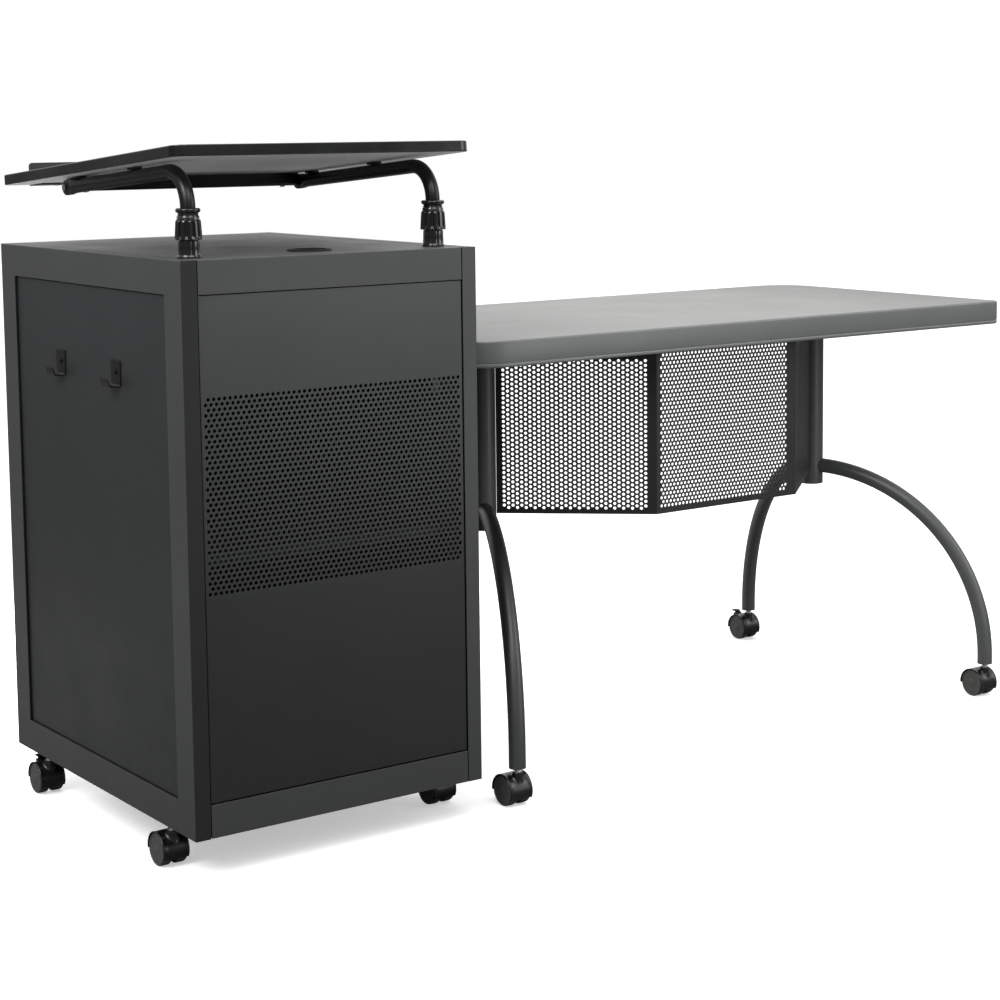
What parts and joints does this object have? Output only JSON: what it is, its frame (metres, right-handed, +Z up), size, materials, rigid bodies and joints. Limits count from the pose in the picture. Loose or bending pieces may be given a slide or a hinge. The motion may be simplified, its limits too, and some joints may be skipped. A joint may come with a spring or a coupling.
{
  "type": "lectern podium",
  "caption": "Mobile lectern cabinet with a height-adjustable tilting reading board, lockable storage, coat hooks and a docked arched-leg desk wing, all on swivel casters.",
  "frame": {"origin": "bottom centre of the whole object's box, on the floor", "axes": "+X along the front from the cabinet to the free end of the desk, +Y from the audience side to the user's side, +Z up"},
  "size_m": [1.7806, 0.69, 1.0782],
  "materials": {
    "frame_paint": "satin powder coat, warm charcoal",
    "panel_paint": "fine-textured powder coat, cool dark grey",
    "black_paint": "fine-textured black powder coat",
    "leg_paint": "satin powder coat, mid charcoal",
    "bare_steel": "zinc plated",
    "gloss_black_plastic": "moulded, glossy black",
    "matte_black_plastic": "moulded, matt black",
    "wheel_plastic": "moulded, dark grey",
    "edge_plastic": "extruded, black",
    "desk_edge_plastic": "moulded, mid grey",
    "laminate": "high-pressure laminate, light grey, fine grain",
    "board_laminate": "laminate, light grey",
    "bumper_rubber": "moulded rubber"
  },
  "bodies": {
    "base": {"side_frame_left": "frame_paint", "side_frame_right": "frame_paint", "side_panel_left": "panel_paint", "side_panel_right": "panel_paint", "top_cap": "frame_paint", "base_pan": "frame_paint", "front_panel": "panel_paint", "door_pivots": "bare_steel", "inner_shelf": "panel_paint", "shelf_clips": "bare_steel", "cable_grommet": "matte_black_plastic", "coat_hooks": "black_paint", "hook_screws": "bare_steel", "guide_tubes": "bare_steel", "collet_bodies": "gloss_black_plastic", "desk_top": "laminate", "desk_edge_band": "desk_edge_plastic", "desk_mount_plates": "bare_steel", "column_left": "leg_paint", "column_right": "leg_paint", "column_caps": "leg_paint", "arched_legs_left": "leg_paint", "arched_legs_right": "leg_paint", "modesty_panel": "black_paint", "dock_brackets": "bare_steel", "desk_screws": "bare_steel", "caster_stems": "bare_steel"},
    "board_carriage": {"support_tube_left": "black_paint", "support_tube_right": "black_paint"},
    "board": {"reading_board": "board_laminate", "board_edge_band": "edge_plastic", "book_stop": "black_paint", "cross_bar": "black_paint", "pivot_screws": "bare_steel", "board_bumpers": "bumper_rubber", "board_screws": "bare_steel"},
    "nut_left": {"lock_nut_left": "gloss_black_plastic"},
    "nut_right": {"lock_nut_right": "gloss_black_plastic"},
    "door": {"rear_door": "panel_paint"},
    "lock": {"door_lock": "bare_steel"},
    "fork_cab_fl": {"caster_housing_cab_fl": "gloss_black_plastic"},
    "wheels_cab_fl": {"caster_wheels_cab_fl": "wheel_plastic"},
    "fork_cab_fr": {"caster_housing_cab_fr": "gloss_black_plastic"},
    "wheels_cab_fr": {"caster_wheels_cab_fr": "wheel_plastic"},
    "fork_cab_rl": {"caster_housing_cab_rl": "gloss_black_plastic"},
    "wheels_cab_rl": {"caster_wheels_cab_rl": "wheel_plastic"},
    "fork_cab_rr": {"caster_housing_cab_rr": "gloss_black_plastic"},
    "wheels_cab_rr": {"caster_wheels_cab_rr": "wheel_plastic"},
    "fork_desk_fl": {"caster_housing_desk_fl": "gloss_black_plastic"},
    "wheels_desk_fl": {"caster_wheels_desk_fl": "wheel_plastic"},
    "fork_desk_fr": {"caster_housing_desk_fr": "gloss_black_plastic"},
    "wheels_desk_fr": {"caster_wheels_desk_fr": "wheel_plastic"},
    "fork_desk_rl": {"caster_housing_desk_rl": "gloss_black_plastic"},
    "wheels_desk_rl": {"caster_wheels_desk_rl": "wheel_plastic"},
    "fork_desk_rr": {"caster_housing_desk_rr": "gloss_black_plastic"},
    "wheels_desk_rr": {"caster_wheels_desk_rr": "wheel_plastic"},
    "brake_cab_rl": {"brake_lever_cab_rl": "matte_black_plastic"},
    "brake_cab_rr": {"brake_lever_cab_rr": "matte_black_plastic"},
    "brake_desk_rl": {"brake_lever_desk_rl": "matte_black_plastic"},
    "brake_desk_rr": {"brake_lever_desk_rr": "matte_black_plastic"}
  },
  "joints": [
    {"name": "board_height", "type": "slide", "parent": "base", "child": "board_carriage", "axis": [0, 0, 1], "range_m": [0, 0.15]},
    {"name": "board_tilt", "type": "hinge", "parent": "board_carriage", "child": "board", "pos_m": [-0.61675, 0.12638, 1.00858], "axis": [-1, 0, 0], "range_deg": [0, 25]},
    {"name": "nut_left_twist", "type": "hinge", "parent": "base", "child": "nut_left", "pos_m": [-0.82835, -0.29, 0.958], "axis": [0, 0, 1], "range_deg": [0, 120]},
    {"name": "nut_right_twist", "type": "hinge", "parent": "base", "child": "nut_right", "pos_m": [-0.40515, -0.29, 0.958], "axis": [0, 0, 1], "range_deg": [0, 120]},
    {"name": "door_swing", "type": "hinge", "parent": "base", "child": "door", "pos_m": [-0.40075, 0.296, 0.49], "axis": [0, 0, -1], "range_deg": [0, 105]},
    {"name": "lock_turn", "type": "hinge", "parent": "door", "child": "lock", "pos_m": [-0.80825, 0.3035, 0.4899], "axis": [0, 1, 0], "range_deg": [0, 90]},
    {"name": "swivel_cab_fl", "type": "hinge", "parent": "base", "child": "fork_cab_fl", "pos_m": [-0.85825, -0.245, 0.057], "axis": [0, 0, 1], "continuous": true},
    {"name": "roll_cab_fl", "type": "hinge", "parent": "fork_cab_fl", "child": "wheels_cab_fl", "pos_m": [-0.85825, -0.23, 0.025], "axis": [1, 0, 0], "continuous": true},
    {"name": "swivel_cab_fr", "type": "hinge", "parent": "base", "child": "fork_cab_fr", "pos_m": [-0.37525, -0.245, 0.057], "axis": [0, 0, 1], "continuous": true},
    {"name": "roll_cab_fr", "type": "hinge", "parent": "fork_cab_fr", "child": "wheels_cab_fr", "pos_m": [-0.37525, -0.23, 0.025], "axis": [1, 0, 0], "continuous": true},
    {"name": "swivel_cab_rl", "type": "hinge", "parent": "base", "child": "fork_cab_rl", "pos_m": [-0.85825, 0.205, 0.057], "axis": [0, 0, 1], "continuous": true},
    {"name": "roll_cab_rl", "type": "hinge", "parent": "fork_cab_rl", "child": "wheels_cab_rl", "pos_m": [-0.85825, 0.22, 0.025], "axis": [1, 0, 0], "continuous": true},
    {"name": "swivel_cab_rr", "type": "hinge", "parent": "base", "child": "fork_cab_rr", "pos_m": [-0.37525, 0.205, 0.057], "axis": [0, 0, 1], "continuous": true},
    {"name": "roll_cab_rr", "type": "hinge", "parent": "fork_cab_rr", "child": "wheels_cab_rr", "pos_m": [-0.37525, 0.22, 0.025], "axis": [1, 0, 0], "continuous": true},
    {"name": "swivel_desk_fl", "type": "hinge", "parent": "base", "child": "fork_desk_fl", "pos_m": [-0.28177, -0.32867, 0.057], "axis": [0, 0, 1], "continuous": true},
    {"name": "roll_desk_fl", "type": "hinge", "parent": "fork_desk_fl", "child": "wheels_desk_fl", "pos_m": [-0.28177, -0.31367, 0.025], "axis": [1, 0, 0], "continuous": true},
    {"name": "swivel_desk_fr", "type": "hinge", "parent": "base", "child": "fork_desk_fr", "pos_m": [0.82427, -0.32867, 0.057], "axis": [0, 0, 1], "continuous": true},
    {"name": "roll_desk_fr", "type": "hinge", "parent": "fork_desk_fr", "child": "wheels_desk_fr", "pos_m": [0.82427, -0.31367, 0.025], "axis": [1, 0, 0], "continuous": true},
    {"name": "swivel_desk_rl", "type": "hinge", "parent": "base", "child": "fork_desk_rl", "pos_m": [-0.23556, 0.29805, 0.057], "axis": [0, 0, 1], "continuous": true},
    {"name": "roll_desk_rl", "type": "hinge", "parent": "fork_desk_rl", "child": "wheels_desk_rl", "pos_m": [-0.23556, 0.31305, 0.025], "axis": [1, 0, 0], "continuous": true},
    {"name": "swivel_desk_rr", "type": "hinge", "parent": "base", "child": "fork_desk_rr", "pos_m": [0.77806, 0.29805, 0.057], "axis": [0, 0, 1], "continuous": true},
    {"name": "roll_desk_rr", "type": "hinge", "parent": "fork_desk_rr", "child": "wheels_desk_rr", "pos_m": [0.77806, 0.31305, 0.025], "axis": [1, 0, 0], "continuous": true},
    {"name": "brake_press_cab_rl", "type": "hinge", "parent": "fork_cab_rl", "child": "brake_cab_rl", "pos_m": [-0.85825, 0.24011, 0.04898], "axis": [-1, 0, 0], "range_deg": [0, 25]},
    {"name": "brake_press_cab_rr", "type": "hinge", "parent": "fork_cab_rr", "child": "brake_cab_rr", "pos_m": [-0.37525, 0.24011, 0.04898], "axis": [-1, 0, 0], "range_deg": [0, 25]},
    {"name": "brake_press_desk_rl", "type": "hinge", "parent": "fork_desk_rl", "child": "brake_desk_rl", "pos_m": [-0.23556, 0.33317, 0.04898], "axis": [-1, 0, 0], "range_deg": [0, 25]},
    {"name": "brake_press_desk_rr", "type": "hinge", "parent": "fork_desk_rr", "child": "brake_desk_rr", "pos_m": [0.77806, 0.33317, 0.04898], "axis": [-1, 0, 0], "range_deg": [0, 25]}
  ]
}
